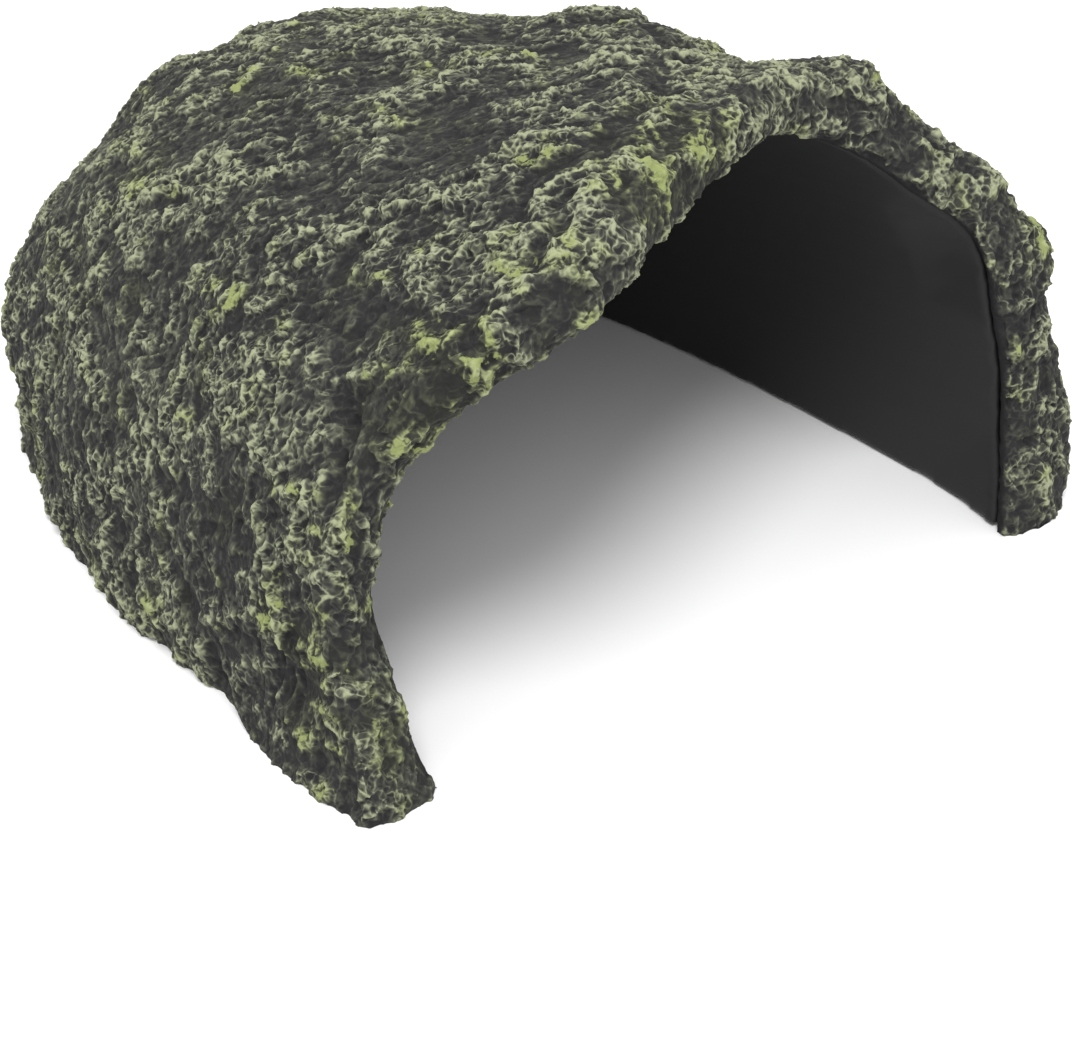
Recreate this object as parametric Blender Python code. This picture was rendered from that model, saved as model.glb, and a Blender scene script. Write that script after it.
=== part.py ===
"""A hollow rock-effect cave for a tank: a moulded rock shell over a smooth black inner layer.

The cave stands on a flat horseshoe-shaped base rim. Its mouth faces -Y, its closed back faces +Y and +Z is up.
Both pieces are lofts of arches: the front arch is the widest and tallest, and the arches shrink towards the back.
"""

import math

import bmesh
import bpy
import numpy as np
from mathutils import Vector, noise

MM = 0.001

# Driving dimensions, in millimetres: the cave's inside
MOUTH_HALF_WIDTH = 69.7
MOUTH_HEIGHT = 98.5
CAVE_DEPTH = 170.0

# The wall around it
LIP_SIDE = 15.3
LIP_TOP = 14.8
BACK_WALL = 13.0
LINING = 2.4
GAP = 0.4
LIP_NOSE = 2.6
LIP_LAND = 3.0
LINING_LIFT = 0.5

# How square each section is: 2 is an ellipse, and more is squarer
MOUTH_SQUARENESS = 2.55
OUTER_SQUARENESS = 2.3
PLAN_SQUARENESS = 3.25
ROOF_SQUARENESS = 3.1

# How the roof line runs from the mouth to the back, as shares of the local height
ROOF_SAG = 0.107
ROOF_SHOULDER = 0.028
SIDE_DRIFT = -2.6

# How the front arch departs from an even one: (waves, share on the sine, share on the cosine)
ARCH_WAVES = ((1, -0.045, 0.056), (2, 0.011, 0.017), (3, 0.022, -0.010))

# How the lip runs in and out along the front arch, in millimetres: (waves, on the sine, on the cosine)
LIP_WAVES = ((1, 5.5, -6.4), (2, 3.2, 0.0), (3, 2.9, 0.0), (4, -9.2, 0.0))
LIP_LEAN = 0.14

# The rock's lumps: (size, height), in millimetres
LUMPS = ((30.0, 3.0), (15.0, 1.6))

# Where the rock's own shape departs from the even arches, in millimetres: (centre, reach, move)
DEPARTURES = (
    ((37, 79, 93), 24, (1.2, 0.6, 4.2)),  # high crest of the roof
    ((48, 54, 97), 15, (-2.2, -0.4, -5.2)),  # saddle between the roof and the lip
    ((54, 29, 96), 14, (1.0, 0.0, 2.4)),  # top of the lip
    ((-43, 160, 65), 26, (1.8, -2.1, -3.2)),  # hollow of the back left shoulder
    ((-64, 155, 28), 24, (-2.6, 1.6, 0.8)),  # swell of the back left flank
    ((82, 1, 61), 11, (3.0, -0.4, 1.4)),  # spur of the right lip
    ((72, 8, 76), 11, (1.6, 0.0, 2.6)),  # shoulder above the spur
    ((86, -4, 44), 11, (-2.6, 0.6, 0.0)),  # waist of the right lip
    ((91, -6, 14), 18, (4.0, -0.6, 0.0)),  # calf of the right leg
    ((83, -4, 0), 23, (-0.5, -5.2, 0.0)),  # right foot, set forward
    ((75, -6, 0), 17, (-3.4, -0.8, 0.0)),  # right foot, turned in
    ((66, 7, 62), 18, (2.8, -0.4, 2.2)),  # right shoulder of the mouth
    ((-73, 4, 0), 15, (3.4, 1.6, 0.0)),  # left foot, turned in
    ((-84, 30, 0), 20, (-1.8, -0.4, 0.0)),  # foot of the left leg's outside
    ((-85, 53, 0), 10, (3.0, 0.0, 0.0)),  # nick between the left leg and the side
    ((-65, 22, 38), 16, (-1.4, 0.0, 0.0)),  # left edge of the mouth
)

# Mesh steps along the arch and from the mouth to the back
ROCK_STEPS = (52, 32)
LINING_STEPS = (52, 32)
NOSE_STEPS = 4


def squircle(angle, squareness):
    """A quarter-by-quarter superellipse: across from -1 to 1, and up from 0 to 1."""
    across = np.sign(np.cos(angle)) * np.abs(np.cos(angle)) ** (2 / squareness)
    return across, np.abs(np.sin(angle)) ** (2 / squareness)


def waves(table, angle):
    return sum(on_sin * np.sin(n * angle) + on_cos * np.cos(n * angle) for n, on_sin, on_cos in table)


def arches(half_width, height, depth, squareness, steps, setback=0.0):
    """Rows of points, one arch each from the mouth to the back, ending in one point on the ground."""
    angle = np.linspace(math.pi, 0, steps[0] + 1)
    across, up = squircle(angle, squareness)
    departure = waves(ARCH_WAVES, angle)
    front = LIP_LEAN * height * up + waves(LIP_WAVES, angle) + setback
    back = np.sin(np.linspace(0, math.pi / 2, steps[1] + 1))[:, None]
    width = half_width * (1 - np.minimum(back, 1) ** PLAN_SQUARENESS).clip(0) ** (1 / PLAN_SQUARENESS)
    roof = 1 - ROOF_SAG * np.sin(math.pi * back) + ROOF_SHOULDER * np.sin(2 * math.pi * back)
    tall = height * roof * (1 - np.minimum(back, 1) ** ROOF_SQUARENESS).clip(0) ** (1 / ROOF_SQUARENESS)
    grown = 1 + departure * (1 - back)
    x = width * across * grown + SIDE_DRIFT * back
    y = front * (1 - back) ** 1.5 + depth * back
    z = tall * up * grown
    z[:, [0, -1]] = 0
    return np.stack([x, y, z], axis=-1)


def with_lumps(rows):
    """The rows pushed out and in along their normals by the rock's lumps. The base stays flat."""
    along = np.gradient(rows, axis=1)
    inward = np.gradient(rows, axis=0)
    normal = np.cross(inward, along)
    normal /= np.linalg.norm(normal, axis=-1, keepdims=True).clip(1e-9)
    normal[-1] = (0, 1, 0)
    pushed = np.empty_like(rows)
    for index in np.ndindex(rows.shape[:2]):
        point = Vector(rows[index])
        height = sum(tall * noise.noise(point / size) for size, tall in LUMPS)
        pushed[index] = rows[index] + normal[index] * height
    pushed[-1] = pushed[-1, 0]
    pushed[:, [0, -1], 2] = 0
    pushed[-1, :, 2] = 0
    return pushed


def departed(points):
    """The points moved by every departure within reach. The base stays flat."""
    moved = points.copy()
    freedom = np.ones_like(points)
    freedom[:, 2] = ((points[:, 2] - LINING_LIFT) / 10).clip(0, 1)
    for centre, reach, move in DEPARTURES:
        nearness = 1 - ((points - centre) ** 2).sum(axis=1, keepdims=True) / reach ** 2
        moved += nearness.clip(0) ** 2 * freedom * move
    return moved


def lift(rows):
    """The rows with their base edge raised, so that the rock alone meets the ground."""
    raised = rows.copy()
    raised[..., 2] = raised[..., 2].clip(LINING_LIFT)
    return raised


def nose(outer, inner, bulge):
    """The rows between the two front arches, rounded forward."""
    rows = []
    for step in range(1, NOSE_STEPS + 1):
        share = step / (NOSE_STEPS + 1)
        row = outer * (1 - share) + inner * share
        row[:, 1] -= bulge * math.sqrt(1 - (2 * share - 1) ** 2)
        rows.append(row)
    return np.array(rows)


class Skin:
    """Vertices and faces of one closed shell, built row by row."""

    def __init__(self):
        self.points = []
        self.faces = []

    def add(self, rows):
        first = len(self.points)
        self.points += [tuple(point) for row in rows for point in row]
        count = len(rows[0])
        return [list(range(first + i * count, first + (i + 1) * count)) for i in range(len(rows))]

    def join(self, first, second):
        for i in range(len(first) - 1):
            self.faces.append((first[i], first[i + 1], second[i + 1], second[i]))

    def fan(self, row, tip):
        for i in range(len(row) - 1):
            self.faces.append((row[i], row[i + 1], tip))


def shell(outer, inner, bulge):
    """One closed body between two sets of arches: both skins, the front lip and the flat base rim.

    The inner set may have more rows: they all share the outer set's first row in the base rim.
    """
    skin = Skin()
    outside = skin.add(outer[:-1])
    inside = skin.add(inner[:-1])
    lip = skin.add(nose(outer[0], inner[0], bulge))
    outer_tip, inner_tip = skin.add([[outer[-1, 0]], [inner[-1, 0]]])
    for rows, tip in ((outside, outer_tip), (inside, inner_tip)):
        for first, second in zip(rows, rows[1:]):
            skin.join(first, second)
        skin.fan(rows[-1], tip[0])
    around = [outside[0], *lip, inside[0]]
    for first, second in zip(around, around[1:]):
        skin.join(first, second)
    for side in (0, -1):
        extra = len(inside) - len(outside)
        rim_out = [row[side] for row in outside] + [outer_tip[0]]
        rim_in = [row[side] for row in inside[extra:]] + [inner_tip[0]]
        skin.join(rim_out, rim_in)
        ends = [row[side] for row in around] + [row[side] for row in inside[1:extra + 1]]
        skin.faces.append(tuple(ends))
    skin.points = departed(np.array(skin.points))
    return skin


def solid(name, skin, shift, material, collection):
    mesh = bpy.data.meshes.new(name)
    mesh.from_pydata([tuple(point) for point in (skin.points - shift) * MM], [], skin.faces)
    body = bmesh.new()
    body.from_mesh(mesh)
    bmesh.ops.recalc_face_normals(body, faces=body.faces)
    body.to_mesh(mesh)
    body.free()
    mesh.materials.append(material)
    thing = bpy.data.objects.new(name, mesh)
    collection.objects.link(thing)
    return thing


def resin(name, colour, roughness):
    material = bpy.data.materials.new(name)
    material.use_nodes = True
    shader = material.node_tree.nodes["Principled BSDF"]
    shader.inputs["Base Color"].default_value = (*colour, 1)
    shader.inputs["Roughness"].default_value = roughness
    return material


def cave_surface(grow, steps, setback=0.0):
    """The cave's inside surface, moved out by grow."""
    size = (MOUTH_HALF_WIDTH + grow, MOUTH_HEIGHT + grow, CAVE_DEPTH + grow)
    return arches(*size, MOUTH_SQUARENESS, steps, setback)


def rebated_surface(steps):
    """The rock's inside: flush with the cave for a narrow land behind the lip, then stepped out for the lining."""
    flush = cave_surface(0, steps)[0]
    land = cave_surface(0, steps, LIP_LAND)[0]
    pocket = cave_surface(LINING + GAP, steps, LIP_LAND)
    return np.concatenate([[flush, land], pocket])


def main():
    for thing in list(bpy.data.objects):
        bpy.data.objects.remove(thing)
    collection = bpy.data.collections.new("resin_cave_ornament")
    bpy.context.scene.collection.children.link(collection)

    size = (MOUTH_HALF_WIDTH + LIP_SIDE, MOUTH_HEIGHT + LIP_TOP, CAVE_DEPTH + BACK_WALL)
    outside = with_lumps(arches(*size, OUTER_SQUARENESS, ROCK_STEPS))
    rock = shell(outside, rebated_surface(ROCK_STEPS), LIP_NOSE)
    shift = (rock.points.min(axis=0) + rock.points.max(axis=0)) / 2
    shift[2] = 0
    lining_out = cave_surface(LINING, LINING_STEPS, LIP_LAND + GAP)
    lining_in = cave_surface(0, LINING_STEPS, LIP_LAND + GAP)
    lining = shell(lift(lining_out), lift(lining_in), 0)

    solid("rock_shell", rock, shift, resin("rock", (0.06, 0.07, 0.04), 0.85), collection)
    solid("inner_lining", lining, shift, resin("lining", (0.014, 0.014, 0.014), 0.5), collection)


main()
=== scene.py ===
"""Looks of the hollow rock-effect cave: fine rock relief and dry-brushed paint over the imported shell."""

import math

import bpy
import numpy as np
from mathutils import Matrix, Vector
from mathutils.bvhtree import BVHTree


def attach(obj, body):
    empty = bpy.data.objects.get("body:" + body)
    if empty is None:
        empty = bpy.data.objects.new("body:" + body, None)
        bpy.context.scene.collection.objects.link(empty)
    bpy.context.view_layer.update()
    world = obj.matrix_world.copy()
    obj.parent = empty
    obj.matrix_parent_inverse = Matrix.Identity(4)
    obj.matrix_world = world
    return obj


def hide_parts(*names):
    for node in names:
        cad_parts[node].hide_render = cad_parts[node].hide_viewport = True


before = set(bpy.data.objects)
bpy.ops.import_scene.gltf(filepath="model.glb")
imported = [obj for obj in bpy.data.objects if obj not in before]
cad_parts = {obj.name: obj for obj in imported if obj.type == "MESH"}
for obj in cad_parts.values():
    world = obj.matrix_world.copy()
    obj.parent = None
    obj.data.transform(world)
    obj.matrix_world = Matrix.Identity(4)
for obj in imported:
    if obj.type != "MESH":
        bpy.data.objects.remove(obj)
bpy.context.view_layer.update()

MM = 0.001

# Mesh density, in millimetres
ROCK_VOXEL = 0.8
LINING_VOXEL = 1.0

# Relief height, in millimetres, from the largest feature to the smallest
LUMPS = 1.0
KNOBS = 0.8
LEDGES = 0.8
FOLDS = 1.1
TERRACE = 0.75
CRINKLE = 0.4
PITS = 0.25
GRAIN = 0.02

# How far the whole relief is lowered, in millimetres, and over what height above the ground that fades in.
# Its crests make the outline, so this keeps the outline near the CAD model's.
SINK = 0.6
SINK_FADE = 8.0

# Beside the lining the rock is smooth and dark: the distances where that ends and where the relief is whole,
# in millimetres, and how dark it is on the paint's scale
BARE_EDGE = (0.9, 3.2)
BARE_DEPTH = 2.5

# The underside is held flat on the ground up to here, and the relief's rise and fall fades in, in millimetres
FLAT_BELOW = 0.35
RISE_FADE = 1.2

# Where the moss-coloured paint is thickest, in millimetres: (centre, reach)
MOSSY_SPOTS = (((-76, -72, 30), 38), ((-58, -66, 72), 26), ((-5, -64, 103), 24), ((84, -90, 60), 16))

# Listed ridges, creases, hollows and spurs, in millimetres: (name, height, width, places)
LANDMARKS = (
    ("crack of the left front", -1.8, 1.8, ((-67, -50, 72), (-69, -55, 69), (-73, -57, 63), (-76, -60, 57))),
    ("hollow over the crack", -1.6, 5.0, ((-67, -55, 71), (-66, -59, 71))),
    ("upright ledge", 1.5, 1.3, ((-80, -43, 49), (-82, -47, 43), (-84, -51, 35), (-85, -53, 26))),
    ("crease of the left side", -1.6, 2.8, ((-88, -32, 4), (-88, -30, 13), (-87, -23, 19), (-85, -14, 25))),
    ("crest of the rim", 1.1, 2.6,
     ((-50, -71, 89), (-38, -72, 96), (-25, -68, 102), (-6, -60, 105), (14, -52, 103))),
    ("ridge behind the rim", 1.3, 2.0, ((-28, -44, 99), (-18, -46, 102), (-9, -49, 104), (2, -50, 104))),
    ("trough behind the rim", -1.3, 2.6, ((-33, -57, 98), (-22, -56, 102), (-12, -57, 104))),
    ("short ridge", 1.1, 1.8, ((-41, -55, 91), (-36, -62, 95), (-29, -67, 100))),
    ("shelf", 1.3, 1.5, ((-57, -27, 82), (-52, -29, 85), (-48, -33, 88), (-46, -39, 90))),
    ("curl", 1.3, 1.4, ((-58, 24, 74), (-54, 22, 77), (-54, 15, 79), (-54, 9, 80))),
    ("streak", 1.1, 1.3, ((-50, 17, 80), (-43, 13, 84), (-38, 7, 87))),
    ("hollow of the left side", -1.7, 5.5, ((-84, -31, 41), (-82, -36, 47))),
    ("upper hollow", -1.6, 5.0, ((-65, 13, 69), (-70, 14, 62))),
    ("middle hollow", -1.4, 4.5, ((-78, 7, 50), (-79, 5, 47))),
    ("low hollow", -1.3, 4.0, ((-84, -58, 21), (-85, -57, 17))),
    ("roof hollow", -1.3, 5.5, ((-46, -10, 88), (-43, -13, 89))),
    ("front roof hollow", -1.3, 5.0, ((-36, -29, 95), (-20, -30, 99))),
    ("spur of the right lip", 2.6, 3.2, ((84, -88, 60), (85, -89, 57))),
    ("shoulder of the right lip", 1.6, 3.5, ((72, -80, 77), (75, -82, 73))),
    ("calf of the right leg", 1.7, 3.5, ((88, -94, 22), (89, -94, 18))),
    ("top of the lip", 0.6, 3.5, ((50, -60, 98), (54, -62, 96))),
)

# Wide sags of the roof line, in millimetres: (name, height, width, places)
SAGS = (
    ("saddle behind the lip", -3.4, 8.5, ((28, -34, 102), (36, -37, 101))),
    ("sag of the roof", -1.3, 12.0, ((29, 22, 90), (23, 5, 96))),
    ("end of the roof", -2.6, 7.0, ((45, -18, 95), (50, -23, 94))),
)

# The paint from the hollows to the crests: (place from 0 to 1, screen colour)
PLAIN_PAINT = (
    (0.0, (29, 29, 31)), (0.3, (42, 42, 42)), (0.5, (64, 65, 58)),
    (0.64, (91, 94, 79)), (0.78, (119, 123, 101)), (1.0, (150, 154, 126)),
)
MOSSY_PAINT = (
    (0.0, (30, 30, 30)), (0.3, (44, 45, 40)), (0.5, (69, 72, 57)),
    (0.64, (100, 105, 75)), (0.78, (127, 134, 93)), (1.0, (153, 161, 114)),
)
SOLID_MOSS = (140, 149, 96)

# The rock's beds stand upright, and this is the level direction across them
BED_NORMAL = np.array((0.64, 0.77, 0.0), np.float32)


# ---------------------------------------------------------------- noise

def lattice(seed):
    """A permutation and its gradient directions."""
    rng = np.random.default_rng(seed)
    order = rng.permutation(256)
    ways = rng.normal(size=(256, 3))
    ways /= np.linalg.norm(ways, axis=1, keepdims=True)
    return np.concatenate([order, order]).astype(np.int64), ways.astype(np.float32)


def perlin(points, seed=0):
    """Smooth gradient noise from about -1 to 1, one cell per unit."""
    order, ways = lattice(seed)
    cell = np.floor(points)
    part = (points - cell).astype(np.float32)
    cell = cell.astype(np.int64) & 255
    blend = part * part * part * (part * (part * 6 - 15) + 10)
    total = np.zeros(len(points), np.float32)
    for dx in (0, 1):
        for dy in (0, 1):
            for dz in (0, 1):
                row = order[(cell[:, 0] + dx) & 255]
                row = order[row + ((cell[:, 1] + dy) & 255)]
                row = order[row + ((cell[:, 2] + dz) & 255)]
                away = part - np.array((dx, dy, dz), np.float32)
                weight = np.ones(len(points), np.float32)
                for axis, step in enumerate((dx, dy, dz)):
                    weight *= blend[:, axis] if step else 1 - blend[:, axis]
                total += weight * np.einsum("ij,ij->i", ways[row], away)
    return total * 1.6


def cloudy(points, octaves, seed):
    total = np.zeros(len(points), np.float32)
    size = 1.0
    for octave in range(octaves):
        total += size * perlin(points * 2.07 ** octave, seed + octave)
        size *= 0.5
    return total


def warped(points, size, amount, seed):
    """Points pushed about by noise of the given size."""
    moved = points.copy()
    for axis in range(3):
        moved[:, axis] += amount * perlin(points / size, seed + 31 * axis)
    return moved


def ramp(low, high, value):
    share = ((value - low) / (high - low)).clip(0, 1)
    return share * share * (3 - 2 * share)


# ---------------------------------------------------------------- meshes

def evaluated_copy(thing, name):
    graph = bpy.context.evaluated_depsgraph_get()
    mesh = bpy.data.meshes.new_from_object(thing.evaluated_get(graph))
    mesh.name = name
    return mesh


def smooth_skin(node, name, voxel, passes):
    """A CAD node's shape as an even, smooth mesh, smoothed in the given number of passes."""
    thing = bpy.data.objects.new(name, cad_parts[node].data.copy())
    bpy.context.scene.collection.objects.link(thing)
    remesh = thing.modifiers.new("even", "REMESH")
    remesh.mode = "VOXEL"
    remesh.voxel_size = voxel * MM
    smooth = thing.modifiers.new("smooth", "SMOOTH")
    smooth.factor = 0.5
    smooth.iterations = passes
    mesh = evaluated_copy(thing, name)
    thing.modifiers.clear()
    thing.data = mesh
    return thing


def subdivided(thing):
    finer = thing.modifiers.new("finer", "SUBSURF")
    finer.levels = 1
    finer.render_levels = 1
    mesh = evaluated_copy(thing, thing.name)
    thing.modifiers.clear()
    thing.data = mesh
    return thing


def vertices(mesh):
    points = np.empty(len(mesh.vertices) * 3, np.float32)
    mesh.vertices.foreach_get("co", points)
    return points.reshape(-1, 3)


def normals(mesh):
    ways = np.empty(len(mesh.vertices) * 3, np.float32)
    mesh.vertex_normals.foreach_get("vector", ways)
    return ways.reshape(-1, 3)


def set_vertices(mesh, points):
    mesh.vertices.foreach_set("co", points.astype(np.float32).ravel())
    mesh.update()


def store(mesh, name, values):
    attribute = mesh.attributes.get(name) or mesh.attributes.new(name, "FLOAT", "POINT")
    attribute.data.foreach_set("value", values.astype(np.float32))


def read(mesh, name):
    values = np.empty(len(mesh.vertices), np.float32)
    mesh.attributes[name].data.foreach_get("value", values)
    return values


def shade_smooth(mesh):
    mesh.polygons.foreach_set("use_smooth", np.ones(len(mesh.polygons), bool))


def distance_from(node, points):
    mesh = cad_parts[node].data
    tree = BVHTree.FromPolygons([v.co for v in mesh.vertices], [p.vertices for p in mesh.polygons])
    return np.array([tree.find_nearest(Vector(point))[3] for point in points], np.float32) / MM


# ---------------------------------------------------------------- the rock

def layered(points, squeeze):
    """Points squeezed across the rock's beds, so that noise read there is drawn out along them."""
    across = points @ BED_NORMAL
    return points + (squeeze - 1) * across[:, None] * BED_NORMAL


def crags(points, size, seed, octaves=3):
    """Crests that carry finer crests, over hollows left smooth: about 0 to 1."""
    total = np.zeros(len(points), np.float32)
    weight, share = 1.0, 0.62
    for octave in range(octaves):
        crest = (1 - np.abs(1.25 * perlin(points * 2.13 ** octave / size, seed + octave)).clip(0, 1)) ** 2
        total += share * weight * crest
        weight = (1.6 * weight * crest).clip(0, 1)
        share *= 0.62
    return total


def terraced(height, step):
    """Heights gathered onto steps with a steep riser between them."""
    level = np.floor(height / step)
    return step * (level + ramp(0.4, 0.9, height / step - level))


def off_line(points, places):
    """How far each point is from a line through the places."""
    nearest = np.full(len(points), np.inf, np.float32)
    for start, end in zip(np.float32(places), np.float32(places[1:])):
        along = end - start
        share = ((points - start) @ along / (along @ along)).clip(0, 1)
        gap = points - start - share[:, None] * along
        nearest = np.minimum(nearest, np.sqrt((gap * gap).sum(axis=1)))
    return nearest


def landmarks(points, table):
    """The height that the named features of a table add at each point."""
    ragged = warped(points, 4.0, 1.3, 171)
    total = np.zeros(len(points), np.float32)
    for _, height, width, places in table:
        total += height * np.exp(-((off_line(ragged, places) / width) ** 2))
    return total


def rock_relief(points):
    """The relief's height in millimetres, how far each spot stands out of the hollows, and its crests.

    Every noise is read at points divided by its size in millimetres, and its last argument is its seed.
    """
    bent = warped(points, 17.0, 4.5, 11)
    lumps = perlin(layered(bent, 1.2) / 19.0, 15)
    knobs = cloudy(layered(bent, 1.3) / 8.5, 3, 21)
    marks = landmarks(points, LANDMARKS)
    held = ramp(-0.6, 0.7, knobs + 0.4 * lumps + 0.6 * marks)

    # Ledges rise slowly and drop at once, one to each bed
    beds = bent @ BED_NORMAL / 5.0 + 1.2 * cloudy(bent / 19.0, 2, 31)
    step = beds % 1.0
    ledge = step ** 1.5 * ramp(1.0, 0.8, step) * ramp(-0.3, 0.4, perlin(points / 14.0, 37))

    # The finer relief is drawn out along the beds, and weaker in the hollows
    tight = layered(warped(warped(points, 6.5, 1.4, 51), 1.9, 0.55, 55), 1.5)
    folds = crags(tight, 5.6, 61)
    crinkle = crags(tight, 2.6, 81, 2)
    pits = ramp(0.25, 0.9, perlin(tight / 1.7, 87))
    grain = cloudy(points / 0.95, 2, 91)
    height = LUMPS * lumps + KNOBS * knobs + LEDGES * ledge + (0.4 + 0.6 * held) * FOLDS * (folds - 0.35)
    height += 0.65 * (terraced(height, TERRACE) - height) + marks
    rugged = CRINKLE * (crinkle - 0.35) - PITS * pits
    return height + (0.35 + 0.65 * held) * rugged + GRAIN * grain, held, folds


def spread(mesh, values, passes):
    """Values averaged with their neighbours, again and again."""
    ends = np.empty(len(mesh.edges) * 2, np.int32)
    mesh.edges.foreach_get("vertices", ends)
    first, second = ends[::2], ends[1::2]
    count = len(values)
    near = np.bincount(first, minlength=count) + np.bincount(second, minlength=count)
    for _ in range(passes):
        around = np.bincount(first, values[second], count) + np.bincount(second, values[first], count)
        values = 0.5 * values + 0.5 * around / near
    return values


def moss_places(points, seen):
    """Where the paint turns moss-coloured, above about 0.3."""
    patch = np.zeros(len(points), np.float32)
    patch[seen] = 0.5 * cloudy(points[seen] / 16.0, 2, 131) + 0.6 * perlin(points[seen] / 4.5, 137)
    for spot, reach in MOSSY_SPOTS:
        patch += 0.45 * ramp(reach, 0.4 * reach, np.linalg.norm(points - spot, axis=1))
    return patch


def paint(mesh, points, seen, rough, height, held, crest):
    """Stores what the rock's material reads: the dry brush, its lace, the mossy patches and solid moss."""
    patch = moss_places(points, seen)
    fine = height - spread(mesh, height, 5)
    broad = height - spread(mesh, height, 60)
    tide = 0.5 * perlin(points / 34.0, 151)
    clumps = cloudy(points / 3.4, 2, 141)
    moss = held * ramp(0.25, 0.7, patch) * ramp(-0.25, 0.25, clumps)
    brush = 0.5 * moss + 1.0 * (held - 0.5) + 0.6 * (crest - 0.4) + tide
    brush += 0.3 * fine / fine[seen].std() + 0.22 * broad / broad[seen].std()
    store(mesh, "brush", brush * rough - BARE_DEPTH * (1 - rough))
    store(mesh, "lace", rough * (0.35 + 0.65 * held))
    store(mesh, "patch", patch)
    store(mesh, "moss", moss * rough)


def pushed(points, way, height):
    """The points moved out by the relief, with the underside kept flat on the ground."""
    push = way * height[:, None]
    push[:, 2] *= ramp(0.0, RISE_FADE, points[:, 2])
    moved = points + push
    moved[points[:, 2] < FLAT_BELOW, 2] = 0
    moved[:, 2] = moved[:, 2].clip(0)
    return moved


def make_rock():
    rock = smooth_skin("rock_shell", "rock_surface", ROCK_VOXEL, 6)
    store(rock.data, "bare", 1 - ramp(*BARE_EDGE, distance_from("inner_lining", vertices(rock.data))))
    subdivided(rock)
    mesh = rock.data
    way = normals(mesh)
    points = vertices(mesh) / MM
    rough = 1 - read(mesh, "bare")
    seen = rough > 0.001
    height, held, crest = np.zeros((3, len(points)), np.float32)
    height[seen], held[seen], crest[seen] = rock_relief(points[seen])
    height += landmarks(points, SAGS) - SINK * ramp(0.0, SINK_FADE, points[:, 2])
    height *= rough
    paint(mesh, points, seen, rough, height, held, crest)
    set_vertices(mesh, pushed(points, way, height) * MM)
    shade_smooth(mesh)
    return rock


def make_lining():
    lining = smooth_skin("inner_lining", "lining_surface", LINING_VOXEL, 4)
    shade_smooth(lining.data)
    return lining


# ---------------------------------------------------------------- materials

def new_material(name):
    material = bpy.data.materials.new(name)
    material.use_nodes = True
    return material, material.node_tree.nodes, material.node_tree.links


def srgb(red, green, blue):
    """A linear colour from screen values of 0 to 255."""
    shares = [value / 255 for value in (red, green, blue)]
    linear = [((share + 0.055) / 1.055) ** 2.4 if share > 0.04 else share / 12.92 for share in shares]
    return (*linear, 1)


def attribute(nodes, name):
    node = nodes.new("ShaderNodeAttribute")
    node.attribute_name = name
    return node.outputs["Fac"]


def mixed(nodes, links, factor, first, second):
    node = nodes.new("ShaderNodeMix")
    node.data_type = "RGBA"
    links.new(factor, node.inputs["Factor"])
    for socket, colour in ((node.inputs[6], first), (node.inputs[7], second)):
        if isinstance(colour, tuple):
            socket.default_value = colour
        else:
            links.new(colour, socket)
    return node.outputs[2]


def scaled(nodes, links, value, low, high, start=0.0, end=1.0):
    node = nodes.new("ShaderNodeMapRange")
    links.new(value, node.inputs["Value"])
    node.inputs["From Min"].default_value = low
    node.inputs["From Max"].default_value = high
    node.inputs["To Min"].default_value = start
    node.inputs["To Max"].default_value = end
    return node.outputs["Result"]


def added(nodes, links, first, second):
    node = nodes.new("ShaderNodeMath")
    links.new(first, node.inputs[0])
    links.new(second, node.inputs[1])
    return node.outputs["Value"]


def times(nodes, links, first, second):
    product = added(nodes, links, first, second)
    product.node.operation = "MULTIPLY"
    return product


def along_beds(nodes, links, squeeze):
    """Object coordinates squeezed across the rock's beds."""
    where = nodes.new("ShaderNodeTexCoord").outputs["Object"]
    across = vector_step(nodes, links, "DOT_PRODUCT", where, tuple(BED_NORMAL))
    part = nodes.new("ShaderNodeVectorMath")
    part.operation = "SCALE"
    part.inputs[0].default_value = tuple(BED_NORMAL * (squeeze - 1))
    links.new(across.outputs["Value"], part.inputs["Scale"])
    return vector_step(nodes, links, "ADD", where, part.outputs["Vector"]).outputs["Vector"]


def vector_step(nodes, links, operation, first, second):
    node = nodes.new("ShaderNodeVectorMath")
    node.operation = operation
    links.new(first, node.inputs[0])
    if isinstance(second, tuple):
        node.inputs[1].default_value = second
    else:
        links.new(second, node.inputs[1])
    return node


def speckle(nodes, links, where, size, detail):
    """Fine noise around 0.5, with cells of the given size in millimetres."""
    noise = nodes.new("ShaderNodeTexNoise")
    links.new(where, noise.inputs["Vector"])
    noise.inputs["Scale"].default_value = 1000 / size
    noise.inputs["Detail"].default_value = detail
    noise.inputs["Distortion"].default_value = 0.5
    return noise.outputs["Fac"]


def threads(nodes, links, where, size, width):
    """Thin winding crests at 1 over a floor at 0."""
    noise = speckle(nodes, links, where, size, 1.0)
    centred = nodes.new("ShaderNodeMath")
    centred.operation = "SUBTRACT"
    centred.inputs[1].default_value = 0.5
    links.new(noise, centred.inputs[0])
    away = nodes.new("ShaderNodeMath")
    away.operation = "ABSOLUTE"
    links.new(centred.outputs["Value"], away.inputs[0])
    return scaled(nodes, links, away.outputs["Value"], 0.0, width, 1.0, 0.0)


def colour_ramp(nodes, links, factor, stops):
    node = nodes.new("ShaderNodeValToRGB")
    links.new(factor, node.inputs["Fac"])
    steps = node.color_ramp.elements
    while len(steps) < len(stops):
        steps.new(0.5)
    for step, (place, colour) in zip(steps, stops):
        step.position = place
        step.color = srgb(*colour)
    return node.outputs["Color"]


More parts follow.
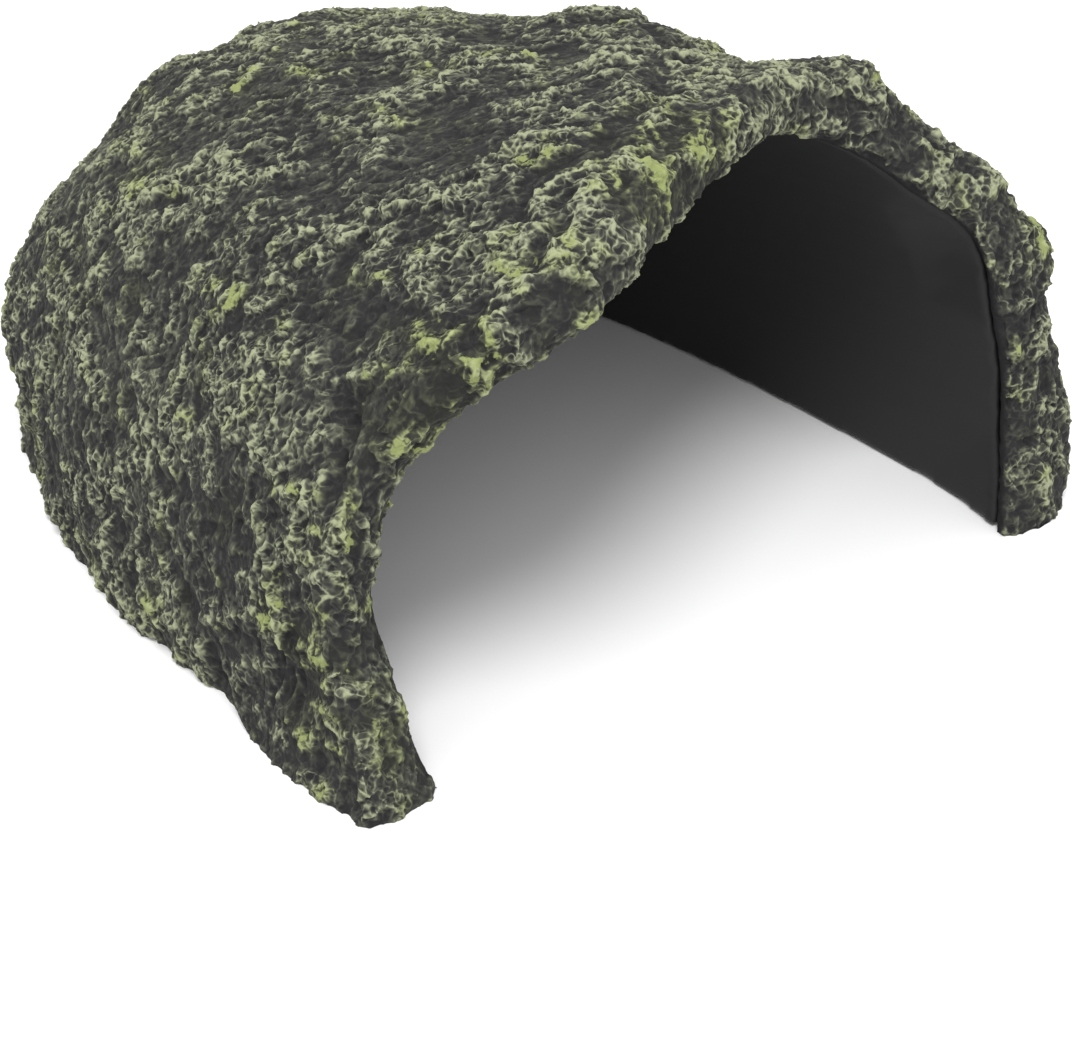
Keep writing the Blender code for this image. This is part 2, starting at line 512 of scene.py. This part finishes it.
def lace(nodes, links, where):
    """Light threads of two sizes, fading out where the rock is bare or hollow."""
    wide = scaled(nodes, links, threads(nodes, links, where, 3.8, 0.08), 0, 1, -0.4, 1.6)
    narrow = scaled(nodes, links, threads(nodes, links, where, 2.2, 0.13), 0, 1, -0.6, 1.35)
    return times(nodes, links, added(nodes, links, wide, narrow), attribute(nodes, "lace"))


def solid_moss(nodes, links, where):
    """How solid the moss-coloured paint is, with ragged edges."""
    ragged = scaled(nodes, links, speckle(nodes, links, where, 1.3, 1.0), 0.3, 0.7, -0.35, 0.35)
    return scaled(nodes, links, added(nodes, links, attribute(nodes, "moss"), ragged), 0.4, 0.7, 0.0, 0.85)


def rock_material():
    material, nodes, links = new_material("painted_rock")
    shader = nodes["Principled BSDF"]
    where = along_beds(nodes, links, 1.5)
    crests = lace(nodes, links, where)
    level = scaled(nodes, links, added(nodes, links, attribute(nodes, "brush"), crests), -1.9, 2.95)
    plain = colour_ramp(nodes, links, level, PLAIN_PAINT)
    mossy = colour_ramp(nodes, links, level, MOSSY_PAINT)
    patch = scaled(nodes, links, attribute(nodes, "patch"), 0.1, 0.8)
    colour = mixed(nodes, links, patch, plain, mossy)
    colour = mixed(nodes, links, solid_moss(nodes, links, where), colour, srgb(*SOLID_MOSS))
    links.new(colour, shader.inputs["Base Color"])
    shader.inputs["Roughness"].default_value = 0.8
    shader.inputs["Specular IOR Level"].default_value = 0.15
    bump = nodes.new("ShaderNodeBump")
    bump.inputs["Strength"].default_value = 0.4
    bump.inputs["Distance"].default_value = 0.2 * MM
    links.new(crests, bump.inputs["Height"])
    links.new(bump.outputs["Normal"], shader.inputs["Normal"])
    return material


def lining_material():
    material, nodes, links = new_material("black_resin")
    shader = nodes["Principled BSDF"]
    # Painted light: the black resin is painted darker near the mouth and lighter deeper inside, to even out
    # the shade that falls inside the cave
    depth = nodes.new("ShaderNodeSeparateXYZ")
    links.new(nodes.new("ShaderNodeTexCoord").outputs["Object"], depth.inputs["Vector"])
    painted_light_inwards = scaled(nodes, links, depth.outputs["Y"], -0.09, 0.06)
    links.new(mixed(nodes, links, painted_light_inwards, srgb(25, 25, 25), srgb(41, 41, 41)), shader.inputs["Base Color"])
    shader.inputs["Roughness"].default_value = 0.55
    shader.inputs["Specular IOR Level"].default_value = 0.3
    return material


# ---------------------------------------------------------------- studio

def make_floor():
    mesh = bpy.data.meshes.new("floor")
    size = 6.0
    corners = [(-size, -size, 0), (size, -size, 0), (size, size, 0), (-size, size, 0)]
    mesh.from_pydata(corners, [], [(0, 1, 2, 3)])
    floor = bpy.data.objects.new("floor", mesh)
    bpy.context.scene.collection.objects.link(floor)
    material, nodes, _ = new_material("floor")
    nodes["Principled BSDF"].inputs["Base Color"].default_value = (0.9, 0.9, 0.9, 1)
    nodes["Principled BSDF"].inputs["Roughness"].default_value = 1.0
    mesh.materials.append(material)


def area_light(name, place, target, size, power):
    lamp = bpy.data.lights.new(name, "AREA")
    lamp.shape = "DISK"
    lamp.size = size
    lamp.energy = power
    thing = bpy.data.objects.new(name, lamp)
    bpy.context.scene.collection.objects.link(thing)
    thing.location = place
    thing.rotation_euler = (Vector(target) - Vector(place)).to_track_quat("-Z", "Y").to_euler()


def make_lights():
    world = bpy.data.worlds.new("studio")
    bpy.context.scene.world = world
    world.use_nodes = True
    world.node_tree.nodes["Background"].inputs["Color"].default_value = (1, 1, 1, 1)
    world.node_tree.nodes["Background"].inputs["Strength"].default_value = 1.1
    area_light("key", (-0.28, -0.3, 0.94), (0, 0, 0.05), 0.42, 6.2)
    bpy.context.scene.view_settings.view_transform = "Standard"


def make_camera():
    azimuth, elevation, distance = math.radians(-39.8), math.radians(37.2), 0.4414
    target = Vector((-4.9, -29.4, 0.4)) * MM
    level = math.cos(elevation)
    back = Vector((math.sin(azimuth) * level, -math.cos(azimuth) * level, math.sin(elevation)))
    camera = bpy.data.objects.new("camera", bpy.data.cameras.new("camera"))
    bpy.context.scene.collection.objects.link(camera)
    camera.data.lens = 69.5
    camera.data.sensor_width = 36
    camera.data.clip_start = 0.01
    turn = (-back).to_track_quat("-Z", "Y").to_matrix() @ Matrix.Rotation(math.radians(-0.5), 3, "Z")
    camera.matrix_world = Matrix.Translation(target + back * distance) @ turn.to_4x4()
    bpy.context.scene.camera = camera


def main():
    make_camera()
    make_lights()
    make_floor()
    rock = make_rock()
    rock.data.materials.clear()
    rock.data.materials.append(rock_material())
    lining = make_lining()
    lining.data.materials.clear()
    lining.data.materials.append(lining_material())
    for piece, node, slot in ((rock, "rock_shell", "rock"), (lining, "inner_lining", "lining")):
        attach(piece, "root")
        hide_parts(node)


main()
